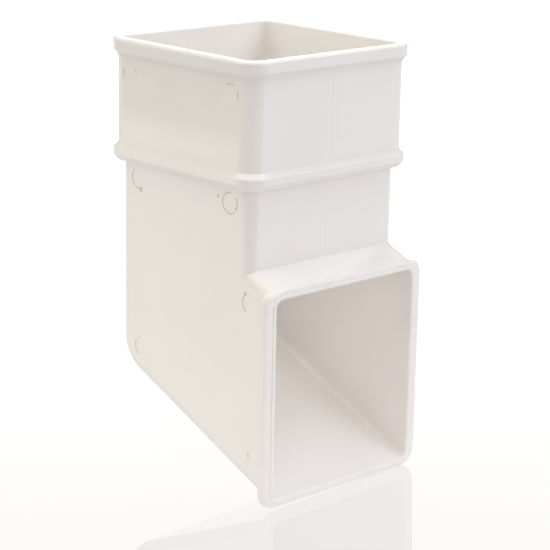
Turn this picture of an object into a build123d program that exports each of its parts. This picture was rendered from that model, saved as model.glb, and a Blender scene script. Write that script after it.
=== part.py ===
from build123d import *

import os
from math import cos, radians, tan

# Downpipe shoe for a square downpipe: one thin-walled moulding.
# Frame: millimetres, +Z up. The origin is on the axis of the downpipe, in the plane of the
# ledge that the pipe's end stands on. The outlet faces -Y.

# Square downpipe that the socket takes
PIPE_WIDTH = 65.0
PIPE_CORNER = 3.5
PIPE_CLEARANCE = 0.3

# Moulding as a whole
WALL = 2.0

# Socket, and how far the beads at its mouth and its foot stand out
SOCKET_DEPTH = 39.0
SOCKET_LEAD_IN = 0.6
LEDGE_WIDTH = 2.05
BEAD_PROUD = 1.7

# Bead round the mouth: a rounded lip, an upright face, and a slope down to a low step
MOUTH_LIP_ROUNDING = 1.1
MOUTH_FACE_HEIGHT = 4.0
MOUTH_FACE_ROUNDING = 0.7
MOUTH_SLOPE_HEIGHT = 1.2
MOUTH_STEP_PROUD = 0.45
MOUTH_STEP_HEIGHT = 0.7

# Bead round the foot: a slope above and below an upright face
FOOT_TOP_SLOPE_HEIGHT = 1.6
FOOT_FACE_HEIGHT = 2.3
FOOT_LOW_SLOPE_HEIGHT = 1.8
FOOT_TUCK = 1.5
FOOT_ROUNDING = 0.8

# Column below the socket
COLUMN_HEIGHT = 28.1
COLUMN_CORNER = 4.7

# Sloping spout: the fall is from the level, the reach is from the axis to the front of the collar
OUTLET_FALL = 23.0
OUTLET_REACH = 43.5
SPOUT_ROOF_WALL = 2.8
SPOUT_BORE_HEIGHT = 61.1
SPOUT_END_ROUNDING = 0.8
HEEL_RADIUS = 13.5

# Collar round the outlet
COLLAR_DEPTH = 2.8
COLLAR_PROUD = 2.75
COLLAR_DROP = 1.1
COLLAR_TOP_CORNER = 3.9
COLLAR_LOW_CORNER = 6.3
COLLAR_FRONT_ROUNDING = 1.8
COLLAR_BACK_ROUNDING = 0.5

# Low lip round the opening, on the front of the collar
LIP_WIDTH = 1.6
LIP_HEIGHT = 0.35
LIP_ROUNDING = 0.25
OPENING_ROUNDING = 0.8

# Sizes that follow from the ones above
socket_bore_half = PIPE_WIDTH / 2 + PIPE_CLEARANCE
socket_bore_corner = PIPE_CORNER + PIPE_CLEARANCE
socket_half = socket_bore_half + WALL
socket_corner = socket_bore_corner + WALL
bore_half = socket_bore_half - LEDGE_WIDTH
bore_corner = COLUMN_CORNER - WALL
column_half = bore_half + WALL
fall = radians(OUTLET_FALL)
roof_front = -COLUMN_HEIGHT - (OUTLET_REACH - column_half) * tan(fall)
sole_front = roof_front - (SPOUT_ROOF_WALL + SPOUT_BORE_HEIGHT + WALL) / cos(fall)
opening_top = roof_front - SPOUT_ROOF_WALL / cos(fall)
opening_bottom = sole_front + WALL / cos(fall)

# How far a cutting solid runs past the face that it opens
overshoot = 10.0


def outline(plane, *corners):
    """A face on the plane from its corners, each given as (across, up, rounding radius)."""
    points = [corner[:2] for corner in corners]
    roundings = [corner[2] for corner in corners]
    return make_face(plane * FilletPolyline(*points, radius=roundings, close=True))


def upright_bar(half, corner, bottom, top):
    """A square bar with rounded corners, on the axis of the downpipe."""
    section = Pos(0, 0, bottom) * RectangleRounded(2 * half, 2 * half, corner)
    return extrude(section, top - bottom)


def outlet_plate(half, bottom, top, low_corner, top_corner, back, front):
    """A rounded rectangle across the outlet, standing from the back plane to the front plane."""
    section = outline(
        Plane.XZ.offset(back),
        (-half, bottom, low_corner),
        (half, bottom, low_corner),
        (half, top, top_corner),
        (-half, top, top_corner),
    )
    return extrude(section, front - back)


def shoe_duct(inset, roof, sole, top, reach):
    """Column, heel and spout as one bar: its side view extruded, with every lengthwise edge rounded.
    Roof and sole are their heights in the plane of the outlet."""
    half = column_half - inset
    side_view = outline(
        Plane.YZ,
        (half, top, 0),
        (half, sole + (half + OUTLET_REACH) * tan(fall), HEEL_RADIUS - inset),
        (-reach, sole + (OUTLET_REACH - reach) * tan(fall), 0),
        (-reach, roof + (OUTLET_REACH - reach) * tan(fall), 0),
        (-half, roof + (OUTLET_REACH - half) * tan(fall), 0),
        (-half, top, 0),
    )
    bar = extrude(side_view, half, both=True)
    open_ends = bar.faces().sort_by(Axis.Z)[-1].edges() + bar.faces().sort_by(Axis.Y)[0].edges()
    side_edges = bar.faces().filter_by(Axis.X).edges()
    return fillet([edge for edge in side_edges if edge not in open_ends], COLUMN_CORNER - inset)


def duct_outside():
    """The outer form of column and spout, with the rim of the outlet rounded."""
    duct = shoe_duct(0, roof_front, sole_front, 0, OUTLET_REACH)
    return fillet(duct.faces().sort_by(Axis.Y)[0].edges(), SPOUT_END_ROUNDING)


def bead(*corners):
    """A bead round the socket: its section, measured outward from the socket's wall, swept round it."""
    path = RectangleRounded(2 * socket_half, 2 * socket_half, socket_corner).face().outer_wire()
    along = path % 0
    section_plane = Plane(origin=path @ 0, x_dir=along.cross(Vector(0, 0, 1)), z_dir=-along)
    return sweep(outline(section_plane, *corners), path)


def mouth_bead():
    """The bead round the mouth of the socket."""
    face_foot = SOCKET_DEPTH - MOUTH_FACE_HEIGHT
    slope_foot = face_foot - MOUTH_SLOPE_HEIGHT
    step_foot = slope_foot - MOUTH_STEP_HEIGHT
    return bead(
        (-WALL / 2, SOCKET_DEPTH, 0),
        (BEAD_PROUD, SOCKET_DEPTH, MOUTH_LIP_ROUNDING),
        (BEAD_PROUD, face_foot, MOUTH_FACE_ROUNDING),
        (MOUTH_STEP_PROUD, slope_foot, 0),
        (MOUTH_STEP_PROUD, step_foot, 0),
        (-WALL / 2, step_foot, 0),
    )


def foot_bead():
    """The bead round the foot of the socket, which covers the shoulder down to the column."""
    face_foot = -WALL + FOOT_LOW_SLOPE_HEIGHT
    face_top = face_foot + FOOT_FACE_HEIGHT
    crease = face_top + FOOT_TOP_SLOPE_HEIGHT
    return bead(
        (-WALL / 2, crease, 0),
        (0, crease, 0),
        (BEAD_PROUD, face_top, FOOT_ROUNDING),
        (BEAD_PROUD, face_foot, FOOT_ROUNDING),
        (BEAD_PROUD - FOOT_TUCK, -WALL, 0),
        (-WALL / 2, -WALL, 0),
    )


def outlet_collar():
    """The collar round the outlet: it stands out at the sides and below, and runs into the roof above."""
    collar = outlet_plate(
        column_half + COLLAR_PROUD,
        sole_front - COLLAR_DROP,
        roof_front,
        COLLAR_LOW_CORNER,
        COLLAR_TOP_CORNER,
        OUTLET_REACH - COLLAR_DEPTH,
        OUTLET_REACH,
    )
    collar = fillet(collar.faces().sort_by(Axis.Y)[0].edges(), COLLAR_FRONT_ROUNDING)
    return fillet(collar.faces().sort_by(Axis.Y)[-1].edges(), COLLAR_BACK_ROUNDING)


def opening_lip():
    """The low lip round the opening, still solid across it."""
    lip = outlet_plate(
        bore_half + LIP_WIDTH,
        opening_bottom - LIP_WIDTH,
        opening_top + LIP_WIDTH,
        bore_corner + LIP_WIDTH,
        bore_corner + LIP_WIDTH,
        OUTLET_REACH - COLLAR_DEPTH,
        OUTLET_REACH + LIP_HEIGHT,
    )
    return fillet(lip.faces().sort_by(Axis.Y)[0].edges(), LIP_ROUNDING)


def downpipe_shoe():
    """The whole moulding: its outer form, less the socket for the pipe and the way through for the water."""
    socket_outside = upright_bar(socket_half, socket_corner, -WALL, SOCKET_DEPTH)
    outside = duct_outside() + socket_outside + mouth_bead() + foot_bead() + outlet_collar() + opening_lip()
    socket = upright_bar(socket_bore_half, socket_bore_corner, 0, SOCKET_DEPTH + overshoot)
    waterway = shoe_duct(WALL, opening_top, opening_bottom, overshoot, OUTLET_REACH + overshoot)
    shoe = outside - socket - waterway
    mouth_rim = shoe.faces().sort_by(Axis.Z)[-1].inner_wires()[0]
    shoe = fillet(mouth_rim.edges(), SOCKET_LEAD_IN)
    opening_rim = shoe.faces().sort_by(Axis.Y)[0].inner_wires()[0]
    return fillet(opening_rim.edges(), OPENING_ROUNDING)


os.makedirs("parts", exist_ok=True)
export_step(downpipe_shoe(), "parts/downpipe_shoe.step")
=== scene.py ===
from math import cos, pi, radians, sin

import bpy
import numpy as np
from bpy.props import FloatProperty, FloatVectorProperty, PointerProperty
from bpy.types import Operator, Panel, PropertyGroup
from mathutils import Matrix, Vector


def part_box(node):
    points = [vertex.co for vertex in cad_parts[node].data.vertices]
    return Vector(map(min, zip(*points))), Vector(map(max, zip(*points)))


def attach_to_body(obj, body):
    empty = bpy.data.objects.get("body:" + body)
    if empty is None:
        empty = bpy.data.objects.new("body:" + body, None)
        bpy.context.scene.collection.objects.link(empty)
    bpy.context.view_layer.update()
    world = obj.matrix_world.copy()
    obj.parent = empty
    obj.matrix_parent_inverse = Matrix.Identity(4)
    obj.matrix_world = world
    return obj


bl_info = {
    "name": "Downpipe shoe",
    "version": (1, 0, 0),
    "blender": (4, 5, 0),
    "location": "3D View > Sidebar > Shoe",
    "description": "Finishes a moulded downpipe shoe and lights it in a plain white studio",
    "category": "Object",
}

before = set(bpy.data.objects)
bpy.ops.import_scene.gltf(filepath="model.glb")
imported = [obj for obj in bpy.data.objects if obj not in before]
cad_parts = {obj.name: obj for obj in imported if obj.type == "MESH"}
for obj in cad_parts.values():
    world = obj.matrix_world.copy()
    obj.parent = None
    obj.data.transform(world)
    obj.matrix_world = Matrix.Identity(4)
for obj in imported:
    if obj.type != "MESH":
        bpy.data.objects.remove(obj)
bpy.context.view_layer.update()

MM = 0.001
BODY = "root"
MOULDING = "downpipe_shoe"

# The flat walls that carry the mould's marks, as distances from the axis. The moulding is widest
# at its beads, which stand out of the socket, and the column lies in by the width of the ledge.
SHOE_LOW, SHOE_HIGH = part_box(MOULDING)
BEAD_PROUD = 1.7 * MM
LEDGE_WIDTH = 2.05 * MM
SOCKET_WALL = SHOE_HIGH.x - BEAD_PROUD
COLUMN_WALL = SOCKET_WALL - LEDGE_WIDTH

# Plastic: the sizes of the patterns in its skin, how much the satin patches change its roughness,
# and its refractive index
MOTTLE_SIZE = 22 * MM
SATIN_SIZE = 4 * MM
SATIN_SPREAD = 0.01
WAVE_SIZE = 16 * MM
GRAIN_SIZE = 0.5 * MM
PLASTIC_IOR = 1.53

# Noise keeps mostly between these two values, which are carried onto a pattern's full range
NOISE_LOW = 0.3
NOISE_HIGH = 0.7

# Marks: how deep their foot is sunk in the wall, and the turn, in degrees, from which an edge
# stays sharp, so that the foot of a mark isn't shaded as if it were sunk
MARK_SINK = 0.05 * MM
SHARP_TURN = 50

# Ridges: points round a section, and the steps between sections, down a seam and round a ring, the
# last in degrees
SECTION_POINTS = 18
SEAM_STEP = 0.4 * MM
RING_STEP = 3.0

# Seams: their stretches of wall, each from a height down to another, the place of the crest
# across the ridge, from -1 to 1, and the length over which the ends fade into the wall
SOCKET_SEAM = (33.0 * MM, 3.8 * MM)
FRONT_COLUMN_SEAM = (-2.0 * MM, -28.0 * MM)
BACK_COLUMN_SEAM = (-2.0 * MM, -60.0 * MM)
SEAM_LEAN = -0.35
SEAM_FADE = 2.0 * MM

# How a seam's line and its height vary down the wall, each as a sum of sines of the millimetres
# run: (size, change per millimetre, shift). The line's sizes are shares of the waver.
SEAM_WAVER = 0.06 * MM
SEAM_LINE_SINES = ((1, 1 / 5.1, 0), (0.5, 1 / 2.3, 1.0))
SEAM_HEIGHT_MIDDLE = 0.85
SEAM_HEIGHT_SINES = ((0.15, 1 / 3.7, 2.0),)

# How much paler the seams' plastic is painted than the wall: a painted highlight for the light
# line along each ridge
SEAM_HIGHLIGHT_SHADE = 1.035

# Rings that ejector pins left on the left wall: how far forward of the axis and how high, the
# wall, and the arcs that show. An arc is (from, to), in degrees from the outlet's side upwards.
# These arcs are painted darker: brown dirt, with painted shade for the dark line along each ring.
PIN_MARKS = (
    (-24.9 * MM, 27.1 * MM, SOCKET_WALL, ((145, 200), (15, 42))),
    (24.8 * MM, 27.75 * MM, SOCKET_WALL, ((62, 132), (-22, 30))),
    (-22.7 * MM, -7.3 * MM, COLUMN_WALL, ((130, 300),)),
    (22.9 * MM, -7.35 * MM, COLUMN_WALL, ((80, 310), (-35, 40))),
    (33.1 * MM, -38.2 * MM, COLUMN_WALL, ((135, 240),)),
    (-21.0 * MM, -65.4 * MM, COLUMN_WALL, ((150, 245),)),
    (36.7 * MM, -89.0 * MM, COLUMN_WALL, ((160, 205),)),
)

# The arcs of three of the same rings that are clean
CLEAN_PIN_MARKS = (
    (-24.9 * MM, 27.1 * MM, SOCKET_WALL, ((200, 282),)),
    (24.8 * MM, 27.75 * MM, SOCKET_WALL, ((236, 262), (268, 300))),
    (-21.0 * MM, -65.4 * MM, COLUMN_WALL, ((100, 140),)),
)

# How a ring's width and height vary round it, as a sum of sines of the angle: (size, waves to a
# turn, shift)
RING_SINES = ((0.2, 7, 0), (0.15, 13, 1.0))

# Small nicks beside the rings, on the column's wall: (forward of the axis, height, radius)
NICKS = (
    (-21.65 * MM, -11.0 * MM, 0.8 * MM),
    (17.2 * MM, -6.1 * MM, 0.55 * MM),
    (25.9 * MM, -8.6 * MM, 0.6 * MM),
    (30.8 * MM, -35.4 * MM, 0.7 * MM),
)
NICK_HEIGHT = 0.2 * MM

# How much of the darkening each of red, green and blue takes: the dirt is brown, and painted shade
# is mixed into it
DIRT_AND_SHADE_SHARE = (0.9, 1.07, 1.25)

# Where the plastic was let into the mould
GATE_FORWARD = -0.9 * MM
GATE_UP = 18.4 * MM

# The nicks and the gate mark are pips: rings of points, points on each ring, the innermost ring's
# share of the radius, how much taller than wide a pip is, the lobes of its outline as a sum of
# sines of the angle, and the dent in its crest. The dent's radius is a share of the pip's own, and
# its depth is a share of the pip's height.
PIP_RINGS = 12
PIP_RING_POINTS = 28
PIP_INNERMOST = 0.04
PIP_STRETCH = 1.35
PIP_SINES = ((0.12, 2, 0.6), (0.07, 5, 0))
DENT_RADIUS = 0.3
NICK_DENT = 0.6
GATE_DENT = 0.45

# Camera, as it stood to the shoe in the photograph: metres, radians, and millimetres for the lens
CAMERA_PLACE = (-0.425445, -0.464225, 0.131553)
CAMERA_YAW = 0.752
CAMERA_PITCH = 0.268
CAMERA_ROLL = 0.020
CAMERA_LENS = 125.74
CAMERA_SENSOR = 36.0
CAMERA_CLIP_START = 0.01

# Corners of the lit sheet on the floor, and the gap between it and the shoe's lowest corner. It
# ends at the left, where the left wall mirrors its edge, and across the camera's line of sight,
# just in front of the picture's lower edge.
SHEET_X = (-0.479, 0.887, 1.6, 1.6, -0.479)
SHEET_Y = (0.078, -1.2, -1.2, 2.0, 2.0)
SHEET_GAP = 0.1 * MM

# Tint of the light that comes up through the sheet
SHEET_TINT = (1, 0.978, 0.962)

# Round ground under the sheet: its radius, how far below the sheet it lies, and its corners
GROUND_RADIUS = 6
GROUND_DROP = 4 * MM
GROUND_CORNERS = 128

# Bright stretches of the studio's walls: the setting that holds the brightness, azimuth and
# elevation of the middle, how far it reaches round it and how softly it ends, all in degrees,
# and the tint
BRIGHT_WALLS = (
    ("backdrop", 180, 14.5, 16, 4, (1, 1, 1)),
    ("left_panel", -60, 20, 24, 16, (0.986, 1, 0.794)),
    ("low_panel", -94, 13, 14, 6, (1, 0.985, 0.9)),
    ("camera_panel", 0, 20, 24, 16, (1, 0.88, 0.782)),
    ("right_panel", 60, 20, 24, 16, (0.907, 0.894, 1)),
)

# Softboxes: azimuth and elevation in degrees, distance and size in metres, power in watts, tint
SOFTBOXES = (
    ("top softbox", 0, 88, 1.0, 0.9, 2.99, (1, 0.957, 0.823)),
    ("high left softbox", -90, 50, 1.2, 0.7, 2.71, (1, 0.937, 0.823)),
    ("high right softbox", 90, 50, 1.2, 0.7, 3.09, (0.79, 0.845, 1)),
    ("back softbox", 180, 50, 1.2, 0.7, 2.26, (0.92, 1, 0.757)),
)


class ShoePlasticSettings(PropertyGroup):
    """White rigid plastic of the moulding"""

    colour: FloatVectorProperty(
        name="Colour", description="Colour of the plastic", subtype="COLOR",
        size=3, min=0, max=1, default=(0.95, 0.925, 0.90),
    )
    mottle: FloatProperty(
        name="Mottle", description="How much the colour varies across a wall",
        default=0.012, min=0, max=0.2,
    )
    roughness: FloatProperty(
        name="Roughness", description="Roughness of the glossy skin",
        default=0.06, min=0.02, max=1,
    )
    grain_depth: FloatProperty(
        name="Grain depth", description="Depth of the fine texture left by the mould",
        subtype="DISTANCE", unit="LENGTH", default=0.004 * MM, min=0, precision=6,
    )
    wave_depth: FloatProperty(
        name="Wave depth", description="Depth of the slow waves where the walls shrank",
        subtype="DISTANCE", unit="LENGTH", default=0.012 * MM, min=0, precision=6,
    )


class ShoeMarkSettings(PropertyGroup):
    """Marks that the mould left"""

    seam_width: FloatProperty(
        name="Seam width", description="Width of the ridge where the mould's halves met",
        subtype="DISTANCE", unit="LENGTH", default=0.95 * MM, min=0.05 * MM, precision=5,
    )
    seam_height: FloatProperty(
        name="Seam height", description="How far the ridge stands out of the wall",
        subtype="DISTANCE", unit="LENGTH", default=0.16 * MM, min=0.01 * MM, precision=5,
    )
    seam_offset: FloatProperty(
        name="Seam offset", description="How far the seams lie off the middle of their walls",
        subtype="DISTANCE", unit="LENGTH", default=0.7 * MM, precision=5,
    )
    pin_radius: FloatProperty(
        name="Pin radius", description="Radius of the ring that an ejector pin leaves",
        subtype="DISTANCE", unit="LENGTH", default=3.45 * MM, min=0.5 * MM, precision=5,
    )
    pin_ridge_width: FloatProperty(
        name="Pin ridge width", description="Width of the ring's ridge",
        subtype="DISTANCE", unit="LENGTH", default=0.42 * MM, min=0.05 * MM, precision=5,
    )
    pin_ridge_height: FloatProperty(
        name="Pin ridge height", description="How far the ring's ridge stands out of the wall",
        subtype="DISTANCE", unit="LENGTH", default=0.2 * MM, min=0.01 * MM, precision=5,
    )
    # Darkens the pin marks and nicks: brown dirt with painted shade of their creases
    dirt_and_shade_darkening: FloatProperty(
        name="Dirt and shade", description="How much darker the dirty and shaded marks are than the wall",
        default=0.26, min=0, max=0.7,
    )
    gate_radius: FloatProperty(
        name="Gate radius", description="Radius of the pip that is left at the gate",
        subtype="DISTANCE", unit="LENGTH", default=0.8 * MM, min=0.1 * MM, precision=5,
    )
    gate_height: FloatProperty(
        name="Gate height", description="How far the pip stands out of the wall",
        subtype="DISTANCE", unit="LENGTH", default=0.22 * MM, min=0.01 * MM, precision=5,
    )


class ShoeStudioSettings(PropertyGroup):
    """White studio round the shoe"""

    sheet_colour: FloatVectorProperty(
        name="Sheet colour", description="Colour of the glossy sheet under the shoe",
        subtype="COLOR", size=3, min=0, max=1, default=(0.03, 0.03, 0.03),
    )
    sheet_glow: FloatProperty(
        name="Sheet glow", description="Brightness of the sheet, which is lit from below",
        default=0.733, min=0,
    )
    sheet_roughness: FloatProperty(
        name="Sheet roughness", description="Roughness of the sheet's polished skin",
        default=0.03, min=0, max=1,
    )
    sheet_ior: FloatProperty(
        name="Sheet index", description="Refractive index of the sheet's skin",
        default=1.5, min=1, max=3,
    )
    ground_colour: FloatVectorProperty(
        name="Ground colour", description="Colour of the studio's matt ground",
        subtype="COLOR", size=3, min=0, max=1, default=(0.3, 0.3, 0.3),
    )
    surround: FloatProperty(
        name="Surround", description="Brightness of the studio's walls",
        default=0.35, min=0,
    )
    backdrop: FloatProperty(
        name="Backdrop", description="Brightness of the lit paper behind the shoe",
        default=1.2, min=0,
    )
    left_panel: FloatProperty(
        name="Left panel", description="Brightness of the soft panel at the camera's left",
        default=0.85, min=0,
    )
    low_panel: FloatProperty(
        name="Low panel",
        description="Brightness of the panel that the floor mirrors onto the left wall",
        default=1.25, min=0,
    )
    camera_panel: FloatProperty(
        name="Camera panel", description="Brightness of the soft panel above the camera",
        default=1.429, min=0,
    )
    right_panel: FloatProperty(
        name="Right panel", description="Brightness of the soft panel at the camera's right",
        default=1.787, min=0,
    )


def new_object(name, points, faces, material):
    """An object at the origin from an array of points and lists of corner numbers."""
    mesh = bpy.data.meshes.new(name)
    mesh.from_pydata(points.reshape(-1, 3).tolist(), [], faces)
    mesh.validate()
    mesh.shade_smooth()
    mesh.set_sharp_from_angle(angle=radians(SHARP_TURN))
    mesh.materials.append(material)
    piece = bpy.data.objects.new(name, mesh)
    bpy.context.scene.collection.objects.link(piece)
    return piece


def attach(piece):
    """The piece belongs to the moulding: it is parented to the body's empty."""
    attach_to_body(piece, BODY)


def tube_faces(rings, around):
    """Faces of a tube whose rings of points follow each other: each joins two points of a ring to
    the same two of the next, and a cap closes each end."""
    ring, place = np.meshgrid(np.arange(rings - 1), np.arange(around), indexing="ij")
    here, after = ring * around, (ring + 1) * around
    beside = (place + 1) % around
    walls = np.stack([here + place, here + beside, after + beside, after + place], axis=-1)
    first_cap = list(range(around))[::-1]
    last_cap = list(range((rings - 1) * around, rings * around))
    return walls.reshape(-1, 4).tolist() + [first_cap, last_cap]


def ridge_section(lean=0):
    """Closed section of a low ridge, as two rows: across from -1 to 1, and out of the wall, where
    1 is the crest and -1 is the foot that is sunk in the wall. It is a raised cosine over a flat,
    with its crest moved across to the lean."""
    half = SECTION_POINTS // 2
    over = np.linspace(-1, 1, half)
    under = np.linspace(1, -1, SECTION_POINTS - half + 2)[1:-1]
    across = np.concatenate([over, under])
    slope = np.where(over < lean, (over - lean) / (1 + lean), (over - lean) / (1 - lean))
    out = np.concatenate([0.5 + 0.5 * np.cos(pi * slope), np.full(len(under), -1.0)])
    return across[None, :], out[None, :]


def stand_out(out, crest):
    """How far a section's points stand out of the wall: their share of the crest's height above
    it, and their share of the sink below it."""
    return np.where(out > 0, out * crest, out * MARK_SINK)


def sines(angle, terms):
    """Sum of sines of the angle, each given as (size, rate, shift)."""
    return sum(size * np.sin(rate * angle + shift) for size, rate, shift in terms)


def seam_ridge(name, facing, wall, top, foot, marks, material):
    """Ridge down the middle of a flat wall that faces forwards, -1, or backwards, 1. Its line and
    its height vary as sums of sines of the distance run, and both ends fade into the wall as a
    quarter of a sine."""
    down = np.linspace(top, foot, int((top - foot) / SEAM_STEP))[:, None]
    across, out = ridge_section(SEAM_LEAN)
    run = top - down
    waver = SEAM_WAVER * sines(run / MM, SEAM_LINE_SINES)
    swell = SEAM_HEIGHT_MIDDLE + sines(run / MM, SEAM_HEIGHT_SINES)
    ends = np.sin(np.clip(np.minimum(run, run[-1] - run) / SEAM_FADE, 0, 1) * pi / 2)
    x = marks.seam_offset + waver + across * marks.seam_width / 2
    y = facing * (wall + stand_out(out, marks.seam_height * swell * ends))
    points = np.stack([x, y, np.broadcast_to(down, x.shape)], axis=-1)
    if facing < 0:
        points = points[::-1]  # keeps the faces outwards
    return new_object(name, points, tube_faces(*x.shape), material)


def arc_ridge(forward, up, wall, start, end, marks):
    """Points of one arc of a pin's ring. The ridge follows the circle from start to end. Its width
    and height vary as a sum of sines of the angle, and its height also as the root of half a sine
    from end to end, so that both ends fade into the wall."""
    turn = np.radians(np.arange(start, end + 1, RING_STEP))[:, None]
    across, out = ridge_section()
    rough = 1 + sines(turn, RING_SINES)
    fade = np.sin(np.linspace(0, pi, len(turn)))[:, None] ** 0.5
    radius = marks.pin_radius + across * rough * marks.pin_ridge_width / 2
    proud = stand_out(out, marks.pin_ridge_height * (fade * rough))
    x = -(wall + proud)
    y = -forward - radius * np.cos(turn)
    z = up + radius * np.sin(turn)
    return np.stack([x, y, z], axis=-1)


def pin_ring(name, forward, up, wall, arcs, marks, material):
    """The arcs of one pin's ring as one piece."""
    points, faces, first = [], [], 0
    for start, end in arcs:
        arc = arc_ridge(forward, up, wall, start, end, marks)
        sections, around = arc.shape[:2]
        faces += [[first + corner for corner in face] for face in tube_faces(sections, around)]
        points.append(arc.reshape(-1, 3))
        first += sections * around
    return new_object(name, np.concatenate(points), faces, material)


def pip(name, forward, up, wall, radius, height, dent, material):
    """Small pip on the left wall, as rings of points from its foot to its middle. The height is a
    raised cosine of the distance from the middle, less a bell curve for the dent, and the outline
    is an oval with a sum of sines of the angle for its lobes."""
    rings = np.linspace(1, PIP_INNERMOST, PIP_RINGS)[:, None]
    turn = np.linspace(0, 2 * pi, PIP_RING_POINTS, endpoint=False)[None, :]
    reach = radius * rings * (1 + sines(turn, PIP_SINES))
    dome = 0.5 + 0.5 * np.cos(pi * rings) - dent * np.exp(-(rings / DENT_RADIUS) ** 2)
    proud = np.where(rings == 1, -MARK_SINK, height * dome) * np.ones_like(turn)
    x = -(wall + proud)
    y = -forward - reach * np.cos(turn)
    z = up + PIP_STRETCH * reach * np.sin(turn)
    faces = tube_faces(PIP_RINGS, PIP_RING_POINTS)
    return new_object(name, np.stack([x, y, z], axis=-1), faces, material)


class NodeLine:
    """Adds nodes to one tree and links them."""

    def __init__(self, tree):
        self.tree = tree

    def add(self, kind, **inputs):
        """A node with the given values on its sockets, where a value that is a socket is linked.
        A name has an underscore for each space, and _0, _1 and so on give a socket's number."""
        node = self.tree.nodes.new(kind)
        for name, value in inputs.items():
            socket = node.inputs[int(name[1:]) if name[0] == "_" else name.replace("_", " ")]
            if isinstance(value, bpy.types.NodeSocket):
                self.tree.links.new(value, socket)
            else:
                socket.default_value = value
        return node

    def noise(self, coordinates, size, detail):
        """Noise whose blotches are about the given size across."""
        node = self.add("ShaderNodeTexNoise", Vector=coordinates, Scale=1 / size, Detail=detail)
        return node.outputs["Fac"]

    def spread(self, noise, low, high):
        """The noise carried onto low to high."""
        node = self.add(
            "ShaderNodeMapRange", Value=noise,
            From_Min=NOISE_LOW, From_Max=NOISE_HIGH, To_Min=low, To_Max=high,
        )
        return node.outputs["Result"]

    def bump(self, height, depth, **under):
        """The normal of a rough skin with the given depth, over another one where it is given."""
        node = self.add("ShaderNodeBump", Strength=1, Distance=depth, Height=height, **under)
        return node.outputs["Normal"]


def new_material(name):
    """A material and its shader."""
    material = bpy.data.materials.new(name)
    material.use_nodes = True
    return material, material.node_tree.nodes["Principled BSDF"]


def plastic_material(name, settings, shade):
    """White rigid plastic: a glossy skin with a faint mottle, slow waves where the walls shrank,
    and the fine grain of the mould. The shade multiplies its colour."""
    material, shader = new_material(name)
    tree = material.node_tree
    line = NodeLine(tree)
    place = line.add("ShaderNodeTexCoord").outputs["Object"]

    base = Vector(part * share for part, share in zip(settings.colour, shade))
    mottle = line.add("ShaderNodeMix")
    mottle.data_type = "RGBA"
    mottle.inputs["A"].default_value = (*(base * (1 - settings.mottle)), 1)
    mottle.inputs["B"].default_value = (*(base * (1 + settings.mottle)), 1)
    blotches = line.spread(line.noise(place, MOTTLE_SIZE, detail=3), 0, 1)
    tree.links.new(blotches, mottle.inputs["Factor"])
    tree.links.new(mottle.outputs["Result"], shader.inputs["Base Color"])

    satin = line.noise(place, SATIN_SIZE, detail=4)
    gloss = settings.roughness
    rough = line.spread(satin, gloss - SATIN_SPREAD, gloss + SATIN_SPREAD)
    tree.links.new(rough, shader.inputs["Roughness"])

    waves = line.bump(line.noise(place, WAVE_SIZE, detail=1), settings.wave_depth)
    grain = line.bump(line.noise(place, GRAIN_SIZE, detail=2), settings.grain_depth, Normal=waves)
    tree.links.new(grain, shader.inputs["Normal"])
    shader.inputs["IOR"].default_value = PLASTIC_IOR
    return material


def moulding_plastic():
    """The material that the moulding already wears."""
    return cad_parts[MOULDING].material_slots[0].material


def sheet_material(settings):
    """Polished white sheet that is lit from below, so that hardly a shadow shows on it."""
    material, shader = new_material("lit polished sheet")
    shader.inputs["Base Color"].default_value = (*settings.sheet_colour, 1)
    shader.inputs["Roughness"].default_value = settings.sheet_roughness
    shader.inputs["IOR"].default_value = settings.sheet_ior
    shader.inputs["Emission Color"].default_value = (*SHEET_TINT, 1)
    shader.inputs["Emission Strength"].default_value = settings.sheet_glow
    return material


def ground_material(settings):
    """Matt ground round the sheet."""
    material, shader = new_material("matt ground")
    shader.inputs["Base Color"].default_value = (*settings.ground_colour, 1)
    shader.inputs["Roughness"].default_value = 1
    shader.inputs["Specular IOR Level"].default_value = 0
    return material


def away_from_shoe(azimuth, elevation):
    """Direction in which a light stands from the shoe. Azimuth runs from the camera's side to its
    right hand, in degrees, and elevation up from level."""
    turn = -pi / 2 - CAMERA_YAW + radians(azimuth)
    rise = radians(elevation)
    return Vector((cos(turn) * cos(rise), sin(turn) * cos(rise), sin(rise)))


def studio_world(settings):
    """The studio's walls: an even surround, and brighter stretches whose brightness is a smooth
    step of the cosine of the angle from their middle."""
    world = bpy.data.worlds.new("white studio")
    world.use_nodes = True
    tree = world.node_tree
    line = NodeLine(tree)
    direction = line.add("ShaderNodeTexCoord").outputs["Generated"]
    even = settings.surround
    light = line.add("ShaderNodeCombineXYZ", X=even, Y=even, Z=even)
    for name, azimuth, elevation, edge, blur, tint in BRIGHT_WALLS:
        middle = away_from_shoe(azimuth, elevation)
        facing = line.add("ShaderNodeVectorMath", _0=direction, _1=middle)
        facing.operation = "DOT_PRODUCT"
        share = line.add(
            "ShaderNodeMapRange", Value=facing.outputs["Value"],
            From_Min=cos(radians(edge)), From_Max=cos(radians(edge - blur)),
        )
        share.interpolation_type = "SMOOTHSTEP"
        colour = getattr(settings, name) * Vector(tint)
        light = line.add(
            "ShaderNodeVectorMath",
            _0=share.outputs["Result"], _1=colour, _2=light.outputs["Vector"],
        )
        light.operation = "MULTIPLY_ADD"
    tree.links.new(light.outputs["Vector"], tree.nodes["Background"].inputs["Color"])
    bpy.context.scene.world = world


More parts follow.
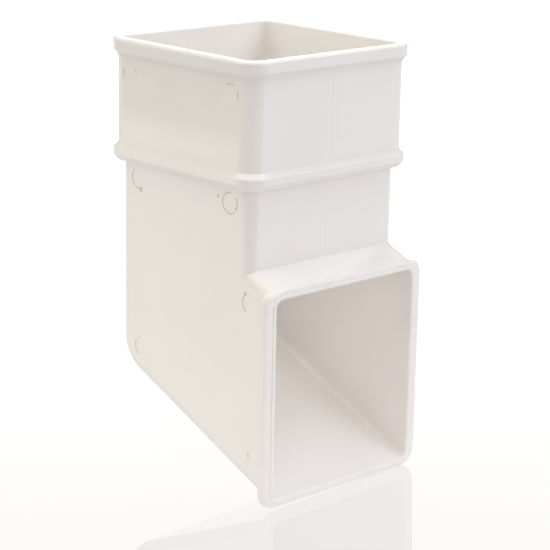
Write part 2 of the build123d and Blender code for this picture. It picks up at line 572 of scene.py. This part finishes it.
def place_camera():
    """The photograph's camera: turned by its yaw, tipped by its pitch and leaned by its roll."""
    data = bpy.data.cameras.new("camera")
    data.lens = CAMERA_LENS
    data.sensor_width = CAMERA_SENSOR
    data.clip_start = CAMERA_CLIP_START
    camera = bpy.data.objects.new("camera", data)
    rotation = (
        Matrix.Rotation(-CAMERA_YAW, 3, "Z")
        @ Matrix.Rotation(pi / 2 - CAMERA_PITCH, 3, "X")
        @ Matrix.Rotation(CAMERA_ROLL, 3, "Z")
    )
    camera.matrix_world = Matrix.Translation(CAMERA_PLACE) @ rotation.to_4x4()
    bpy.context.scene.collection.objects.link(camera)
    bpy.context.scene.camera = camera


def floor_normal():
    """Up, for the floor. It is level to the camera: the shoe leans on it by the camera's roll."""
    lean = sin(CAMERA_ROLL)
    return Vector((-lean * cos(CAMERA_YAW), lean * sin(CAMERA_YAW), cos(CAMERA_ROLL)))


def floor_piece(name, x, y, normal, level, material):
    """A flat stretch of floor: the height of its corners follows from the floor's normal and its
    level along it."""
    z = (level - normal[0] * x - normal[1] * y) / normal[2]
    new_object(name, np.stack([x, y, z], axis=-1), [list(range(len(x)))], material)


def lay_floor(settings):
    """A lit sheet just under the shoe's lowest corner, and a wide round ground below it."""
    normal = np.array(floor_normal())
    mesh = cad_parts[MOULDING].data
    corners = np.empty(len(mesh.vertices) * 3, np.float32)
    mesh.vertices.foreach_get("co", corners)
    level = float((corners.reshape(-1, 3) @ normal).min()) - SHEET_GAP
    floor_piece(
        "sheet", np.array(SHEET_X), np.array(SHEET_Y), normal, level, sheet_material(settings),
    )
    turn = np.linspace(0, 2 * pi, GROUND_CORNERS, endpoint=False)
    floor_piece(
        "ground", GROUND_RADIUS * np.cos(turn), GROUND_RADIUS * np.sin(turn), normal,
        level - GROUND_DROP, ground_material(settings),
    )


def softbox(name, azimuth, elevation, distance, size, power, tint):
    """A square softbox that looks at the middle of the shoe."""
    data = bpy.data.lights.new(name, "AREA")
    data.shape = "SQUARE"
    data.size = size
    data.energy = power
    data.color = tint
    light = bpy.data.objects.new(name, data)
    away = away_from_shoe(azimuth, elevation)
    middle = (SHOE_LOW + SHOE_HIGH) / 2
    light.location = middle + away * distance
    light.rotation_euler = away.to_track_quat("Z", "Y").to_euler()
    light.visible_camera = False
    bpy.context.scene.collection.objects.link(light)


class SHOE_OT_finish_moulding(Operator):
    """Gives the moulding its white plastic"""

    bl_idname = "shoe.finish_moulding"
    bl_label = "Finish moulding"

    def execute(self, context):
        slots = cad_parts[MOULDING].material_slots
        if not slots:
            raise RuntimeError("the moulding has no material slot")
        plastic = context.scene.shoe_plastic
        material = plastic_material("white moulded plastic", plastic, (1, 1, 1))
        for slot in slots:
            slot.material = material
        return {"FINISHED"}


class SHOE_OT_mould_seams(Operator):
    """Adds the fine ridges where the two halves of the mould met"""

    bl_idname = "shoe.mould_seams"
    bl_label = "Mould seams"

    def execute(self, context):
        marks = context.scene.shoe_marks
        plastic = context.scene.shoe_plastic
        # The seams are painted paler: a painted highlight along their ridges
        material = plastic_material("painted highlight seam plastic", plastic, (SEAM_HIGHLIGHT_SHADE,) * 3)
        for name, facing, wall, (top, foot) in (
            ("front_socket_seam", -1, SOCKET_WALL, SOCKET_SEAM),
            ("front_column_seam", -1, COLUMN_WALL, FRONT_COLUMN_SEAM),
            ("back_socket_seam", 1, SOCKET_WALL, SOCKET_SEAM),
            ("back_column_seam", 1, COLUMN_WALL, BACK_COLUMN_SEAM),
        ):
            attach(seam_ridge(name, facing, wall, top, foot, marks, material))
        return {"FINISHED"}


class SHOE_OT_pin_marks(Operator):
    """Adds the rings and nicks that the ejector pins left on the left wall"""

    bl_idname = "shoe.pin_marks"
    bl_label = "Pin marks"

    def execute(self, context):
        marks = context.scene.shoe_marks
        # The pin marks and nicks are painted darker: brown dirt with painted shade over it
        shade = [1 - marks.dirt_and_shade_darkening * share for share in DIRT_AND_SHADE_SHARE]
        dirt_and_shade = plastic_material("soiled plastic", context.scene.shoe_plastic, shade)
        for number, mark in enumerate(PIN_MARKS, start=1):
            attach(pin_ring(f"pin_mark_{number}", *mark, marks, dirt_and_shade))
        for number, mark in enumerate(CLEAN_PIN_MARKS, start=1):
            attach(pin_ring(f"clean_pin_mark_{number}", *mark, marks, moulding_plastic()))
        for number, (forward, up, radius) in enumerate(NICKS, start=1):
            attach(pip(
                f"nick_{number}", forward, up, COLUMN_WALL, radius, NICK_HEIGHT, NICK_DENT,
                dirt_and_shade,
            ))
        return {"FINISHED"}


class SHOE_OT_gate_mark(Operator):
    """Adds the pip where the plastic was let into the mould"""

    bl_idname = "shoe.gate_mark"
    bl_label = "Gate mark"

    def execute(self, context):
        marks = context.scene.shoe_marks
        attach(pip(
            "gate_mark", GATE_FORWARD, GATE_UP, SOCKET_WALL, marks.gate_radius,
            marks.gate_height, GATE_DENT, moulding_plastic(),
        ))
        return {"FINISHED"}


class SHOE_OT_studio(Operator):
    """Sets up the floor, the light and the camera"""

    bl_idname = "shoe.studio"
    bl_label = "Studio"

    def execute(self, context):
        settings = context.scene.shoe_studio
        studio_world(settings)
        lay_floor(settings)
        for values in SOFTBOXES:
            softbox(*values)
        place_camera()
        context.scene.view_settings.view_transform = "Standard"
        return {"FINISHED"}


class SHOE_PT_panel(Panel):
    """Lists the steps that finish the shoe"""

    bl_label = "Downpipe shoe"
    bl_idname = "SHOE_PT_panel"
    bl_space_type = "VIEW_3D"
    bl_region_type = "UI"
    bl_category = "Shoe"

    def draw(self, context):
        scene = context.scene
        for title, settings, operators in (
            ("Plastic", scene.shoe_plastic, ("shoe.finish_moulding",)),
            (
                "Mould marks", scene.shoe_marks,
                ("shoe.mould_seams", "shoe.pin_marks", "shoe.gate_mark"),
            ),
            ("Studio", scene.shoe_studio, ("shoe.studio",)),
        ):
            box = self.layout.box()
            box.label(text=title)
            for name in settings.__annotations__:
                box.prop(settings, name)
            for operator in operators:
                box.operator(operator)


SETTINGS = {
    "shoe_plastic": ShoePlasticSettings,
    "shoe_marks": ShoeMarkSettings,
    "shoe_studio": ShoeStudioSettings,
}
TOOLS = (
    SHOE_OT_finish_moulding,
    SHOE_OT_mould_seams,
    SHOE_OT_pin_marks,
    SHOE_OT_gate_mark,
    SHOE_OT_studio,
    SHOE_PT_panel,
)


def register():
    """Makes the settings, operators and panel known to Blender."""
    for name, group in SETTINGS.items():
        bpy.utils.register_class(group)
        setattr(bpy.types.Scene, name, PointerProperty(type=group))
    for tool in TOOLS:
        bpy.utils.register_class(tool)


def unregister():
    """Takes them out again."""
    for tool in reversed(TOOLS):
        bpy.utils.unregister_class(tool)
    for name, group in SETTINGS.items():
        delattr(bpy.types.Scene, name)
        bpy.utils.unregister_class(group)


def main():
    """Builds the dressed shoe and its studio."""
    register()
    bpy.ops.shoe.finish_moulding()
    bpy.ops.shoe.mould_seams()
    bpy.ops.shoe.pin_marks()
    bpy.ops.shoe.gate_mark()
    bpy.ops.shoe.studio()


if __name__ == "__main__":
    main()
